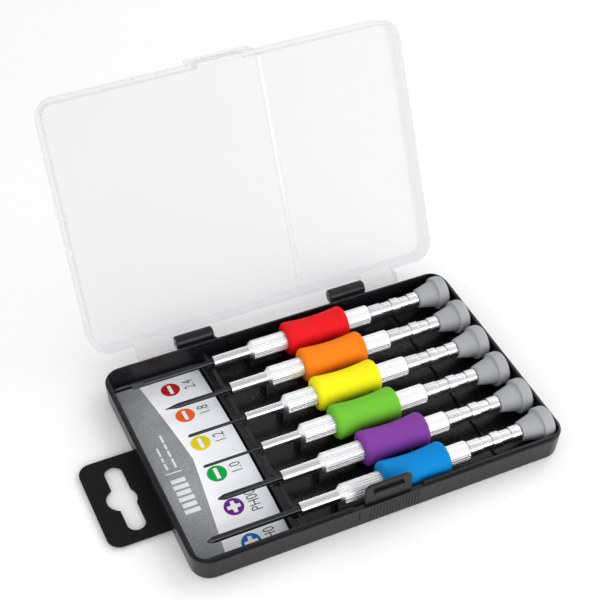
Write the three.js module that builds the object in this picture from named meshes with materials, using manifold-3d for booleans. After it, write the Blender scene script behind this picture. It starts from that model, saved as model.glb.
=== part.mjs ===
// Precision screwdriver set: a hinged case with six swivel-cap screwdrivers and a slide-out hang tab.
// Millimetres, +Z up, +X towards the swivel caps, +Y towards the hinge; z = 0 is the underside of the tray.
import * as THREE from "three";
import { mergeVertices } from "three/addons/utils/BufferGeometryUtils.js";
import Module from "manifold-3d";

const wasm = await Module();
wasm.setup();

// ---- driving dimensions ----
const CASE = { length: 150, width: 102, corner: 8, rim: 10.1, lip: 11.2, floor: 1.0, cornerSteps: 7 };
const TRAY_PATH = [
  // [inset from the outer rim, height, corner radius], from the underside round the rim to the floor
  [1.6, 0, 6.4],
  [0.95, 0.2, 7.1],
  [0.68, 0.9, 7.3],
  [0, CASE.rim, CASE.corner],
  [1.0, CASE.rim, 6.4],
  [1.08, CASE.lip, 6.3],
  [1.9, CASE.lip, 3.9],
  [2.3, 1.8, 3.5],
  [3.0, CASE.floor, 2.8],
];
const LID = { rim: 10.4, step: 11.6, ceiling: 20.1, top: 21.4 };
const LID_PATH = [
  // from the inside of the panel down to the rim and up the outside
  [3.1, LID.ceiling, 3.4],
  [2.4, 19.5, 4.0],
  [2.0, LID.step, 4.4],
  [0.8, LID.step, 6.8],
  [0.8, LID.rim, 6.8],
  [-0.2, LID.rim, 8.2],
  [0.35, 19.8, 7.8],
  [0.75, 20.8, 7.4],
  [1.7, LID.top, 6.4],
];
const LID_OPEN = 115.5; // degrees at rest, measured from closed
const LID_RIB = { x: 17.6, width: 1.9, depth: 0.35, reach: 48 };
const HINGE = {
  y: 54.65,
  z: 10.2,
  trayRadius: 3.25,
  lidRadius: 2.9,
  trayKnuckles: [
    [-42.2, -26.2],
    [25.3, 41.2],
  ],
  lidKnuckles: [
    [-58.1, -42.5],
    [41.5, 56.3],
  ],
  pinRadius: 1.2,
  boreRadius: 1.4,
  pinReach: 4.6,
  boreReach: 5.1,
  steps: 24,
};
const LATCH = {
  gap: [-14.4, 13.8],
  tongue: [-9.9, 8.8],
  tongueFront: -50.7,
  tongueBack: -49.3,
  top: 19.8,
  corner: 2.6,
  catchX: [-6.5, 5.6],
  catchZ: [15.3, 16.2],
  catchFront: -51.0,
  housing: [-13.4, 13.0],
  housingFront: -52.3,
  housingInside: -51.3,
  housingTop: 20.6,
  play: 0.5,
};
const RIDGES = { count: 16, first: -7.6, pitch: 1.28, width: 0.5, low: 1.3, high: 9.1, proud: 0.28 };
const SIDE_GROOVE = { x: -12.5, width: 0.5, low: 4.3, high: 8.1 };
const TAB = {
  centreY: -4.65,
  width: 40.8,
  outer: -97.1,
  inner: -66.0,
  low: 0.85,
  high: 1.85,
  corner: 5,
  earWidth: 1.4,
  earLength: 5.2,
  slotX: -84.9,
  slotLength: 32,
  slotWidth: 6.9,
  circleX: -86.0,
  circleRadius: 5.75,
  play: 0.3,
};
const POCKET = { end: -42.5, skin: 0.55, roofLow: 2.15, roofTop: 3.0, wall: 1.2, window: [-68, -48, 8] };
const LABEL = { x: [-70.4, -36.3], halfWidth: 46.2, thickness: 0.35, low: 1.35, rise: 3.0, steps: 14 };
const COMB = {
  profile: [
    [-35.4, 0.8],
    [-34.2, 7.9],
    [-33.1, 7.9],
    [-32.9, 7.1],
    [-31.9, 7.1],
    [-31.7, 0.8],
  ],
  halfWidth: 48.9,
  side: 0.45,
  under: 0.55,
  flare: 3.7,
  flareLow: 6.6,
};
const NUB = { x: 18.2, radius: 0.65, top: 9.3, wallY: 48.5 };
const CRADLE = { x: [-17.9, -16.6], halfWidth: 2.0, gap: 0.3 };
const FLOOR_RIB = { x: [49.3, 50.3], top: 2.0 };
const AXIS_Z = 8.3;
const PITCH = 16.2;
const DRIVERS = [
  // shift and sleeve are where this driver and its sleeve lie along the case
  { name: "red", colour: 0xe81b24, shift: -0.4, sleeve: -0.9, tip: -65.0, blade: 1.05, nose: 2.55, kind: "flat", roll: 45 },
  { name: "orange", colour: 0xf57c1c, shift: 0.3, sleeve: -0.8, tip: -57.9, blade: 1.0, nose: 2.55, kind: "flat", roll: 135 },
  { name: "yellow", colour: 0xf6ea27, shift: -0.2, sleeve: -2.8, tip: -54.5, blade: 0.62, nose: 1.95, kind: "flat", roll: 90 },
  { name: "green", colour: 0x6cbd3c, shift: -0.5, sleeve: -2.7, tip: -54.6, blade: 0.55, nose: 1.95, kind: "flat", roll: 90 },
  { name: "purple", colour: 0x7d3a98, shift: 0.2, sleeve: 1.1, tip: -56.2, blade: 1.1, nose: 2.55, kind: "cross", roll: 20 },
  { name: "blue", colour: 0x008cd6, shift: 0.2, sleeve: 1.3, tip: -66.8, blade: 1.25, nose: 2.55, kind: "cross", roll: 45 },
];
const BARREL = { left: -31.3, boreReach: 9, boreGap: 0.15, shoulder: 59.2, spindle: 1.6, end: 68.6, steps: 16 };
const KNURL = { radius: 3.9, coneStart: -16.3, start: -14.8, end: 36.9, chamfer: 0.5 };
const RINGS = [
  // [from, to, radius] along the rear section
  [37.1, 42.5, 3.2],
  [42.8, 46.8, 2.9],
  [47.0, 50.6, 3.35],
  [50.9, 54.7, 2.9],
  [55.0, BARREL.shoulder, 3.25],
];
const SLEEVE = { length: 26.6, bore: 4.1, ends: 6.9, waist: 6.15, corner: 1.7, steps: 20, points: 8 };
const CAP = { left: 59.5, right: 72.0, small: 3.75, cone: 5.7, flange: 6.8, flangeStart: 67.4, bore: 1.9, boreEnd: 69.4 };
const CAP_STEPS = 20;
const TIP = { flatLength: 6.0, flatEdge: 0.22, crossCone: 2.4, crossFlat: 0.3, fluteWidth: 0.75, steps: 12 };

const COLOURS = { tray: 0x2c2d2e, tab: 0x1c1c1c, label: 0xe4e4e8, lid: 0xf2f4f6, blade: 0x3a3a3c, metal: 0xd6d8da, cap: 0xa4a5a8 };

// ---- helpers ----
function signedVolume(positions, index) {
  let sum = 0;
  const [a, b, c] = [new THREE.Vector3(), new THREE.Vector3(), new THREE.Vector3()];
  for (let i = 0; i < index.length; i += 3) {
    a.fromArray(positions, index[i] * 3);
    b.fromArray(positions, index[i + 1] * 3);
    c.fromArray(positions, index[i + 2] * 3);
    sum += a.dot(b.cross(c)) / 6;
  }
  return sum;
}

// A closed geometry as an outward-facing solid.
function toSolid(geometry) {
  const bare = new THREE.BufferGeometry();
  const source = geometry.index ? geometry.toNonIndexed() : geometry;
  bare.setAttribute("position", source.getAttribute("position"));
  const merged = mergeVertices(bare, 1e-4);
  const positions = merged.attributes.position.array;
  const index = [];
  const all = merged.index.array;
  for (let i = 0; i < all.length; i += 3) {
    const [p, q, r] = [all[i], all[i + 1], all[i + 2]];
    if (p !== q && q !== r && p !== r) index.push(p, q, r);
  }
  if (signedVolume(positions, index) < 0) index.reverse();
  const mesh = new wasm.Mesh({ numProp: 3, vertProperties: positions, triVerts: new Uint32Array(index) });
  return new wasm.Manifold(mesh);
}

function toGeometry(solid) {
  const mesh = solid.getMesh();
  const geometry = new THREE.BufferGeometry();
  geometry.setAttribute("position", new THREE.BufferAttribute(new Float32Array(mesh.vertProperties), 3));
  geometry.setIndex(new THREE.BufferAttribute(new Uint32Array(mesh.triVerts), 1));
  geometry.computeVertexNormals();
  return geometry;
}

const join = (...geometries) => wasm.Manifold.union(geometries.map(toSolid));
const cut = (solid, ...geometries) => geometries.reduce((left, g) => left.subtract(toSolid(g)), solid);

function box(x, y, z) {
  const geometry = new THREE.BoxGeometry(x[1] - x[0], y[1] - y[0], z[1] - z[0]);
  return geometry.translate((x[0] + x[1]) / 2, (y[0] + y[1]) / 2, (z[0] + z[1]) / 2);
}

// A [y, z] outline pushed along X.
function prismAlongX(outline, x) {
  const shape = new THREE.Shape(outline.map(([y, z]) => new THREE.Vector2(y, z)));
  const geometry = new THREE.ExtrudeGeometry(shape, { depth: x[1] - x[0], bevelEnabled: false });
  geometry.applyMatrix4(new THREE.Matrix4().set(0, 0, 1, x[0], 1, 0, 0, 0, 0, 1, 0, 0, 0, 0, 0, 1));
  return geometry;
}

// An [x, z] outline pushed along Y.
function prismAlongY(outline, y) {
  const shape = new THREE.Shape(outline.map(([x, z]) => new THREE.Vector2(x, z)));
  const geometry = new THREE.ExtrudeGeometry(shape, { depth: y[1] - y[0], bevelEnabled: false });
  geometry.applyMatrix4(new THREE.Matrix4().set(1, 0, 0, 0, 0, 0, -1, y[1], 0, 1, 0, 0, 0, 0, 0, 1));
  return geometry;
}

function rodAlongX(x, y, z, radius, steps) {
  const geometry = new THREE.CylinderGeometry(radius, radius, x[1] - x[0], steps);
  return geometry.rotateZ(Math.PI / 2).translate((x[0] + x[1]) / 2, y, z);
}

// A profile of [x, radius] points turned about the X axis.
function turned(profile, steps) {
  const points = profile.map(([x, r]) => new THREE.Vector2(r, x));
  return new THREE.LatheGeometry(points, steps).rotateZ(-Math.PI / 2);
}

// ---- case shells ----
function roundedRing([inset, z, radius]) {
  const halfX = CASE.length / 2 - inset;
  const halfY = CASE.width / 2 - inset;
  const points = [];
  for (let corner = 0; corner < 4; corner++) {
    const cx = (corner === 0 || corner === 3 ? 1 : -1) * (halfX - radius);
    const cy = (corner < 2 ? 1 : -1) * (halfY - radius);
    for (let i = 0; i <= CASE.cornerSteps; i++) {
      const angle = (Math.PI / 2) * (corner + i / CASE.cornerSteps);
      points.push([cx + radius * Math.cos(angle), cy + radius * Math.sin(angle), z]);
    }
  }
  return points;
}

// Rings joined one to the next, with a flat cap on the first (facing down) and on the last (facing up).
function lofted(path) {
  const rings = path.map(roundedRing);
  const count = rings[0].length;
  const index = [];
  for (let k = 0; k + 1 < rings.length; k++) {
    for (let i = 0; i < count; i++) {
      const j = (i + 1) % count;
      const [a, b, c, d] = [k * count + i, k * count + j, (k + 1) * count + j, (k + 1) * count + i];
      index.push(a, b, c, a, c, d);
    }
  }
  const last = (rings.length - 1) * count;
  for (let i = 1; i + 1 < count; i++) {
    index.push(0, i + 1, i, last, last + i, last + i + 1);
  }
  const geometry = new THREE.BufferGeometry();
  geometry.setAttribute("position", new THREE.Float32BufferAttribute(rings.flat(2), 3));
  geometry.setIndex(index);
  return geometry;
}

// ---- tray ----
const driverY = (i) => PITCH * (2.5 - i);

function trayKnuckles() {
  const web = [
    [50.4, 4.4],
    [HINGE.y, HINGE.z - HINGE.trayRadius],
    [HINGE.y, HINGE.z],
    [50.4, CASE.rim - 0.05],
  ];
  return HINGE.trayKnuckles.flatMap((x) => [
    rodAlongX(x, HINGE.y, HINGE.z, HINGE.trayRadius, HINGE.steps),
    prismAlongX(web, x),
  ]);
}

function hingeBores() {
  return HINGE.trayKnuckles.map(([low, high], side) => {
    const x = side === 0 ? [low - 0.1, low + HINGE.boreReach] : [high - HINGE.boreReach, high + 0.1];
    return rodAlongX(x, HINGE.y, HINGE.z, HINGE.boreRadius, TIP.steps);
  });
}

function latchTongue() {
  const [left, right] = LATCH.tongue;
  const { corner, top } = LATCH;
  const outline = [
    [left, 8],
    [right, 8],
    [right, top - corner],
    [right - 0.3 * corner, top - 0.3 * corner],
    [right - corner, top],
    [left + corner, top],
    [left + 0.3 * corner, top - 0.3 * corner],
    [left, top - corner],
  ];
  const bar = box(LATCH.catchX, [LATCH.catchFront, LATCH.tongueFront + 0.3], LATCH.catchZ);
  return [prismAlongY(outline, [LATCH.tongueFront, LATCH.tongueBack]), bar];
}

function gripRidges() {
  const outline = [
    [-50.0, RIDGES.low],
    [-50.3 - RIDGES.proud, RIDGES.low],
    [-50.93 - RIDGES.proud, RIDGES.high - 0.3],
    [-50.9, RIDGES.high],
    [-50.0, RIDGES.high],
  ];
  return Array.from({ length: RIDGES.count }, (_, i) => {
    const x = RIDGES.first + i * RIDGES.pitch;
    return prismAlongX(outline, [x, x + RIDGES.width]);
  });
}

function tabPocket() {
  const half = TAB.width / 2 + TAB.earWidth + TAB.play;
  const block = box(
    [-73.5, POCKET.end + POCKET.wall],
    [TAB.centreY - half - POCKET.wall, TAB.centreY + half + POCKET.wall],
    [0.5, POCKET.roofTop],
  );
  const room = box([-72.2, POCKET.end], [TAB.centreY - half, TAB.centreY + half], [POCKET.skin, POCKET.roofLow]);
  const mouthHalf = TAB.width / 2 + TAB.play;
  const mouth = box(
    [-76, -72],
    [TAB.centreY - mouthHalf, TAB.centreY + mouthHalf],
    [POCKET.skin, POCKET.roofLow],
  );
  const [x0, x1, halfWindow] = POCKET.window;
  const window = box([x0, x1], [TAB.centreY - halfWindow, TAB.centreY + halfWindow], [-1, 1]);
  return { block, voids: [room, mouth, window] };
}

function combSlots() {
  return DRIVERS.map((driver, i) => {
    const y = driverY(i);
    const half = driver.blade + COMB.side;
    const low = AXIS_Z - driver.blade - COMB.under;
    const shoulder = Math.min(COMB.flareLow, AXIS_Z - 0.6);
    const outline = [
      [y - half, Math.min(low, shoulder - 0.3)],
      [y + half, Math.min(low, shoulder - 0.3)],
      [y + half, shoulder],
      [y + COMB.flare, 8.2],
      [y - COMB.flare, 8.2],
      [y - half, shoulder],
    ];
    return prismAlongX(outline, [-37, -31]);
  });
}

function nubs() {
  const ys = [-NUB.wallY, ...[-2, -1, 0, 1, 2].map((k) => k * PITCH), NUB.wallY];
  return ys.map((y) => {
    const profile = [
      [0.5, 0],
      [0.5, NUB.radius * 1.5],
      [NUB.top - 1.2, NUB.radius],
      [NUB.top - 0.35, NUB.radius * 0.85],
      [NUB.top, 0],
    ];
    return turned(profile, 10).rotateY(-Math.PI / 2).translate(NUB.x, y, 0);
  });
}

function cradles() {
  return DRIVERS.map((driver, i) => {
    const y = driverY(i);
    const top = AXIS_Z - driver.nose - CRADLE.gap;
    return box(CRADLE.x, [y - CRADLE.halfWidth, y + CRADLE.halfWidth], [0.5, top]);
  });
}

function tray() {
  const half = COMB.halfWidth;
  const pocket = tabPocket();
  const comb = cut(toSolid(prismAlongY(COMB.profile, [-half, half])), ...combSlots());
  const rib = box(FLOOR_RIB.x, [-half, half], [0.5, FLOOR_RIB.top]);
  const shell = cut(toSolid(lofted(TRAY_PATH)), box(LATCH.gap, [-50.15, -48.4], [CASE.rim, 12]));
  const solid = shell
    .add(comb)
    .add(join(rib, pocket.block, ...trayKnuckles(), ...latchTongue(), ...gripRidges(), ...nubs(), ...cradles()));
  const groove = box(
    [SIDE_GROOVE.x, SIDE_GROOVE.x + SIDE_GROOVE.width],
    [-51.2, -50.4],
    [SIDE_GROOVE.low, SIDE_GROOVE.high],
  );
  return cut(solid, groove, ...pocket.voids, ...hingeBores());
}

// ---- lid, drawn closed and then swung open ----
function lidKnuckles() {
  const web = [
    [50.7, 10.7],
    [52.3, 10.5],
    [HINGE.y, HINGE.z],
    [HINGE.y, HINGE.z + HINGE.lidRadius],
    [52.9, 13.9],
    [50.7, 15.4],
  ];
  return HINGE.lidKnuckles.flatMap(([low, high], side) => {
    const pin = side === 0 ? [high - 0.2, high + HINGE.pinReach] : [low - HINGE.pinReach, low + 0.2];
    return [
      rodAlongX([low, high], HINGE.y, HINGE.z, HINGE.lidRadius, HINGE.steps),
      prismAlongX(web, [low, high]),
      rodAlongX(pin, HINGE.y, HINGE.z, HINGE.pinRadius, TIP.steps),
    ];
  });
}

function lid() {
  const housing = box(LATCH.housing, [LATCH.housingFront, -50.6], [LID.rim, LATCH.housingTop]);
  const rib = box(
    [LID_RIB.x - LID_RIB.width / 2, LID_RIB.x + LID_RIB.width / 2],
    [-LID_RIB.reach, LID_RIB.reach],
    [LID.ceiling - LID_RIB.depth, LID.ceiling + 0.3],
  );
  const room = box(
    [LATCH.tongue[0] - LATCH.play, LATCH.tongue[1] + LATCH.play],
    [LATCH.housingInside, -48.3],
    [LID.rim - 1, LID.ceiling],
  );
  const window = box(
    [LATCH.catchX[0] - 0.4, LATCH.catchX[1] + 0.4],
    [LATCH.housingFront - 1, LATCH.housingInside + 0.5],
    [LATCH.catchZ[0] - 0.3, LATCH.catchZ[1] + 0.3],
  );
  const solid = join(lofted(LID_PATH), housing, rib, ...lidKnuckles());
  return cut(solid, room, window);
}

function swungOpen(geometry) {
  geometry.translate(0, -HINGE.y, -HINGE.z);
  geometry.rotateX(-THREE.MathUtils.degToRad(LID_OPEN));
  return geometry.translate(0, HINGE.y, HINGE.z);
}

// ---- hang tab and label ----
function euroSlot() {
  const r = TAB.slotWidth / 2;
  const halfRun = TAB.slotLength / 2 - r;
  const outline = [];
  for (let i = 0; i <= 8; i++) {
    const a = Math.PI * (i / 8);
    outline.push([TAB.slotX + r * Math.cos(a), TAB.centreY + halfRun + r * Math.sin(a)]);
  }
  for (let i = 0; i <= 8; i++) {
    const a = Math.PI * (1 + i / 8);
    outline.push([TAB.slotX + r * Math.cos(a), TAB.centreY - halfRun + r * Math.sin(a)]);
  }
  const shape = new THREE.Shape(outline.map(([x, y]) => new THREE.Vector2(x, y)));
  const run = new THREE.ExtrudeGeometry(shape, { depth: 4, bevelEnabled: false });
  const circle = new THREE.CylinderGeometry(TAB.circleRadius, TAB.circleRadius, 4, 24);
  circle.rotateX(Math.PI / 2).translate(TAB.circleX, TAB.centreY, 2);
  return [run, circle];
}

function hangTab() {
  const half = TAB.width / 2;
  const [x0, x1, y0, y1, r] = [TAB.outer, TAB.inner, TAB.centreY - half, TAB.centreY + half, TAB.corner];
  const shape = new THREE.Shape();
  shape.moveTo(x1, y0);
  shape.lineTo(x1, y1);
  shape.lineTo(x0 + r, y1);
  shape.absarc(x0 + r, y1 - r, r, Math.PI / 2, Math.PI, false);
  shape.lineTo(x0, y0 + r);
  shape.absarc(x0 + r, y0 + r, r, Math.PI, 1.5 * Math.PI, false);
  shape.closePath();
  const options = { depth: TAB.high - TAB.low, bevelEnabled: false, curveSegments: 6 };
  const plate = new THREE.ExtrudeGeometry(shape, options).translate(0, 0, TAB.low);
  const ears = box(
    [x1 - TAB.earLength, x1 - 0.01],
    [y0 - TAB.earWidth, y1 + TAB.earWidth],
    [TAB.low, TAB.high],
  );
  return cut(join(plate, ears), ...euroSlot());
}

function labelCard() {
  const height = (y) => LABEL.low + LABEL.rise * Math.cos((Math.PI / 2) * (y / LABEL.halfWidth));
  const under = [];
  const over = [];
  for (let i = 0; i <= LABEL.steps; i++) {
    const y = LABEL.halfWidth * ((2 * i) / LABEL.steps - 1);
    under.push([y, height(y)]);
    over.unshift([y, height(y) + LABEL.thickness]);
  }
  return toSolid(prismAlongX([...under, ...over], LABEL.x));
}

// ---- screwdrivers, drawn along X and then laid in their cradles ----
function flatTip(driver) {
  const { tip, blade } = driver;
  const side = [
    [tip - 1, TIP.flatEdge],
    [tip + 0.4, TIP.flatEdge],
    [tip + TIP.flatLength * (blade / 1.05), blade + 0.1],
    [tip - 1, blade + 0.6],
  ];
  const far = side.map(([x, z]) => [x, -z]);
  const roll = THREE.MathUtils.degToRad(driver.roll);
  return [side, far].map((outline) => prismAlongY(outline, [-3, 3]).rotateX(roll));
}

function crossTip(driver) {
  const { tip, blade } = driver;
  const depth = blade * 0.42;
  const outline = [
    [tip - 1, depth],
    [tip + 0.2, depth],
    [tip + TIP.crossCone * 1.7, blade + 0.2],
    [tip - 1, blade + 0.6],
  ];
  const half = TIP.fluteWidth * blade * 0.5;
  return [0, 1, 2, 3].map((quarter) => {
    const roll = THREE.MathUtils.degToRad(driver.roll + 90 * quarter);
    return prismAlongY(outline, [-half, half]).rotateX(roll);
  });
}

function blade(driver) {
  const { tip, blade: radius } = driver;
  const end = BARREL.left + BARREL.boreReach - 0.4;
  const nose =
    driver.kind === "cross"
      ? [
          [tip, 0],
          [tip, TIP.crossFlat],
          [tip + TIP.crossCone, radius],
        ]
      : [
          [tip, 0],
          [tip, radius],
        ];
  const rod = turned([...nose, [end, radius], [end, 0]], TIP.steps);
  const grinds = driver.kind === "cross" ? crossTip(driver) : flatTip(driver);
  return cut(toSolid(rod), ...grinds);
}

function barrel(driver) {
  const bore = driver.blade + BARREL.boreGap;
  const profile = [
    [BARREL.left + BARREL.boreReach, 0],
    [BARREL.left + BARREL.boreReach, bore],
    [BARREL.left, bore],
    [BARREL.left, driver.nose],
    [KNURL.coneStart, driver.nose],
    [KNURL.start, KNURL.radius],
    [KNURL.end - KNURL.chamfer, KNURL.radius],
    [KNURL.end, KNURL.radius - KNURL.chamfer],
  ];
  RINGS.forEach(([from, to, radius]) => profile.push([from, radius], [to, radius]));
  profile.push([BARREL.shoulder, BARREL.spindle], [BARREL.end, BARREL.spindle], [BARREL.end, 0]);
  return toSolid(turned(profile, BARREL.steps));
}

function sleeve(driver) {
  const left = driver.sleeve - driver.shift;
  const right = left + SLEEVE.length;
  const { corner, ends, waist, points } = SLEEVE;
  const profile = [[left, SLEEVE.bore]];
  profile.push([left, ends - corner], [left + 0.3 * corner, ends - 0.3 * corner]);
  for (let i = 0; i <= points; i++) {
    const t = i / points;
    const x = left + corner + t * (SLEEVE.length - 2 * corner);
    profile.push([x, ends - (ends - waist) * Math.sin(Math.PI * t)]);
  }
  profile.push([right - 0.3 * corner, ends - 0.3 * corner], [right, ends - corner]);
  profile.push([right, SLEEVE.bore], [left, SLEEVE.bore]);
  return toSolid(turned(profile, SLEEVE.steps));
}

function cap() {
  const profile = [
    [CAP.boreEnd, 0],
    [CAP.boreEnd, CAP.bore],
    [CAP.left, CAP.bore],
    [CAP.left, CAP.small],
    [CAP.flangeStart - 0.3, CAP.cone],
    [CAP.flangeStart, CAP.flange - 0.5],
    [CAP.flangeStart + 0.5, CAP.flange],
    [CAP.right - 0.6, CAP.flange],
    [CAP.right, CAP.flange - 0.6],
    [CAP.right, 0],
  ];
  return toSolid(turned(profile, CAP_STEPS));
}

// ---- scene ----
const set = new THREE.Group();
set.name = "precision_screwdriver_set";

function addMesh(parent, name, solid, colour, roughness, metalness) {
  const material = new THREE.MeshStandardMaterial({ color: colour, roughness, metalness });
  const mesh = new THREE.Mesh(toGeometry(solid), material);
  mesh.name = name;
  parent.add(mesh);
  return mesh;
}

addMesh(set, "base_tray", tray(), COLOURS.tray, 0.5, 0);
addMesh(set, "hanger_tab", hangTab(), COLOURS.tab, 0.6, 0);
addMesh(set, "label_card", labelCard(), COLOURS.label, 0.4, 0);
const cover = addMesh(set, "lid", lid(), COLOURS.lid, 0.08, 0);
swungOpen(cover.geometry);
cover.material.transparent = true;
cover.material.opacity = 0.25;

DRIVERS.forEach((driver, i) => {
  const laid = new THREE.Group();
  laid.name = `${driver.name}_driver`;
  laid.position.set(driver.shift, driverY(i), AXIS_Z);
  addMesh(laid, `${driver.name}_blade`, blade(driver), COLOURS.blade, 0.45, 0.7);
  addMesh(laid, `${driver.name}_barrel`, barrel(driver), COLOURS.metal, 0.22, 1);
  addMesh(laid, `${driver.name}_sleeve`, sleeve(driver), driver.colour, 0.55, 0);
  addMesh(laid, `${driver.name}_cap`, cap(), COLOURS.cap, 0.5, 0);
  set.add(laid);
});

export default set;
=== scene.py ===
"""Precision screwdriver set: the looks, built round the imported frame.

Shapes are drawn in millimetres in the frame of the part and scaled to metres when a piece is finished.
"""

import math

import bmesh
import bpy
from mathutils import Matrix, Vector


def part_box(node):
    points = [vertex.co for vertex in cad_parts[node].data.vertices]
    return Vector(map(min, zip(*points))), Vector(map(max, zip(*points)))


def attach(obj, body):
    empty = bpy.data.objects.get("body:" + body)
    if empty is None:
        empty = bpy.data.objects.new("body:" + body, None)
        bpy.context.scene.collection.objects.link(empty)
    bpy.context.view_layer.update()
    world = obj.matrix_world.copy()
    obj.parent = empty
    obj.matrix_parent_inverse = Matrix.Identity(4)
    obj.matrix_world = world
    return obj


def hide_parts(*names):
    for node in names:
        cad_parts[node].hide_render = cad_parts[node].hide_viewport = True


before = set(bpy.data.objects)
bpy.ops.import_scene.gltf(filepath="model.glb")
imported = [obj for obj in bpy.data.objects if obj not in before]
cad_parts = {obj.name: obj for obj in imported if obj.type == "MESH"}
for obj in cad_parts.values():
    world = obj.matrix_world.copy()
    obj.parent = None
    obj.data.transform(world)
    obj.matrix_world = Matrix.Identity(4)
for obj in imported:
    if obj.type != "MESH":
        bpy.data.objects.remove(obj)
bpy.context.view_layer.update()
MM = 0.001

# ---- driving dimensions, millimetres ----
CASE = {"half_x": 75.0, "half_y": 51.0, "rim": 10.1, "lip": 11.2, "floor": 1.0, "corner_steps": 16}
LID = {"open": 115.5, "rim": 10.4, "step": 11.6, "ceiling": 20.1, "top": 21.4}
TRAY_PATH = [
    # (inset from the outer rim, height, corner radius, rounding), from the underside round the rim
    (1.6, 0.0, 6.4, 0),
    (0.95, 0.2, 7.1, 0.25),
    (0.68, 0.9, 7.3, 0.25),
    (0.0, CASE["rim"], 8.0, 0.3),
    (1.0, CASE["rim"], 6.4, 0.25),
    (1.08, CASE["lip"], 6.3, 0.25),
    (1.9, CASE["lip"], 3.9, 0.25),
    (2.3, 1.8, 3.5, 0.7),
    (3.0, CASE["floor"], 2.8, 0),
]
LID_PATH = [
    # the same, from the ceiling of the shut lid down its inside, round its rim and up to its top
    (3.1, LID["ceiling"], 3.4, 0),
    (2.4, 19.5, 4.0, 0.5),
    (2.0, LID["step"], 4.4, 0.3),
    (0.8, LID["step"], 6.8, 0.2),
    (0.8, LID["rim"], 6.8, 0.15),
    (-0.2, LID["rim"], 8.2, 0.3),
    (0.35, 19.8, 7.8, 0.5),
    (0.75, 20.8, 7.4, 0.4),
    (1.7, LID["top"], 6.4, 0),
]
LID_RIB = {"x": 17.6, "half": 1.1, "depth": 0.6, "sunk": 0.1, "reach": 48}
HINGE = {"y": 54.65, "z": 10.2, "tray_radius": 2.85, "lid_radius": 2.7, "steps": 48}
PIN = {"radius": 1.2, "bore": 1.4, "length": 4.6, "depth": 5.1, "steps": 24}
TRAY_WEB = [
    (50.4, 4.4),
    (HINGE["y"], HINGE["z"] - HINGE["tray_radius"]),
    (HINGE["y"], HINGE["z"]),
    (50.4, 10.05),
]
TRAY_KNUCKLES = [(-42.2, -26.2), (25.3, 41.2)]
LID_KNUCKLES = [(-58.1, -42.5), (41.5, 56.3)]
FLARE = {"inside": 1.0, "low": 6.5, "high": 10.3}
FLARE_EDGE = [(0.0, 50.4), (2.2, 50.4), (0.9, 52.4), (0.4, HINGE["y"])]  # (out from its end, y)
TONGUE = {"x": (-9.9, 8.8), "front": -50.0, "back": -49.0, "foot": 8.0, "top": 19.8, "corner": 2.6}
CATCH = {"x": (-6.5, 5.6), "z": (15.2, 16.8), "front": -51.1, "play": 0.4}
LATCH_GAP = {"x": (-14.4, 13.8), "y": (-50.15, -48.4), "top": 12.0}
LATCH_LINE = {"x": (-12.5, -12.0), "y": (-51.2, -50.4), "z": (4.3, 8.1)}
HOUSING = {"x": (-13.4, 13.0), "front": -52.3, "inside": -51.3, "behind": -48.3, "top": 20.6}
RIDGES = {"count": 16, "first": -7.6, "pitch": 1.28, "width": 0.5, "low": 1.3, "high": 9.1, "proud": 0.2}
TAB = {"y": -4.65, "half": 20.4, "outer": -97.1, "inner": -66.0, "low": 0.85, "high": 1.85, "corner": 5.0}
TAB_STOP = {"length": 5.2, "proud": 1.4}
SLOT = {"x": -84.9, "half_run": 12.55, "radius": 3.45, "circle_x": -86.0, "circle": 5.75}
POCKET = {"end": -42.5, "front": -72.2, "skin": 0.55, "roof": 2.15, "top": 3.0, "half": 22.1, "wall": 1.2}
LABEL = {"x": (-71.9, -36.3), "half": 46.2, "low": 1.35, "rise": 3.0, "thickness": 0.35, "halves": 36}
BAND = {"edge": -61.4, "apex": 5.2}
DISC = {"x": -50.7, "radius": 3.75, "shift_y": -1.9, "outline": 0.22}
ICON = {"long": 2.55, "bar": 0.72, "arm": 0.75, "web": 0.5}
NUMERAL = {"x": -41.0, "size": 6.3, "narrow": 0.68, "thin": -0.06}
COMB = {"half": 48.9, "play": 0.45, "seat": 6.3, "neck": 6.6, "mouth": 3.7, "open": 8.2}
COMB_PROFILE = [
    (-35.4, 0.8),
    (-35.4, 5.0),
    (-33.6, 7.9),
    (-33.1, 7.9),
    (-32.9, 7.1),
    (-31.9, 7.1),
    (-31.7, 0.8),
]
SIDE_NUB = 48.5
NUB = {"x": 18.2, "profile": [(0.5, 0.98), (8.1, 0.65), (8.95, 0.55), (9.3, 0.05)]}
CRADLE = {"x": (-17.9, -16.6), "half": 2.0, "wrap": 0.4, "play": 0.12}
PITCH = 16.2
AXIS_Z = 8.3
CORE = 1e-3  # the radius of a turned shape's end points, next to nothing
FLUTES = 27
FLUTE_STEPS = 4  # steps round the turn for one flute of the knurl
COLOURS = ["red", "orange", "yellow", "green", "purple", "blue"]
TIPS = {
    # (blade radius, nose tube radius, kind of tip, roll of the tip in degrees)
    "red": (1.05, 2.55, "flat", 45),
    "orange": (1.0, 2.55, "flat", 135),
    "yellow": (0.62, 1.95, "flat", 90),
    "green": (0.55, 1.95, "flat", 90),
    "purple": (1.1, 2.55, "cross", 20),
    "blue": (1.25, 2.55, "cross", 45),
}
SIZE_TEXT = dict(zip(COLOURS, ("2.4", "1.8", "1.2", "1.0", "PH00", "PH0")))
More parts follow.
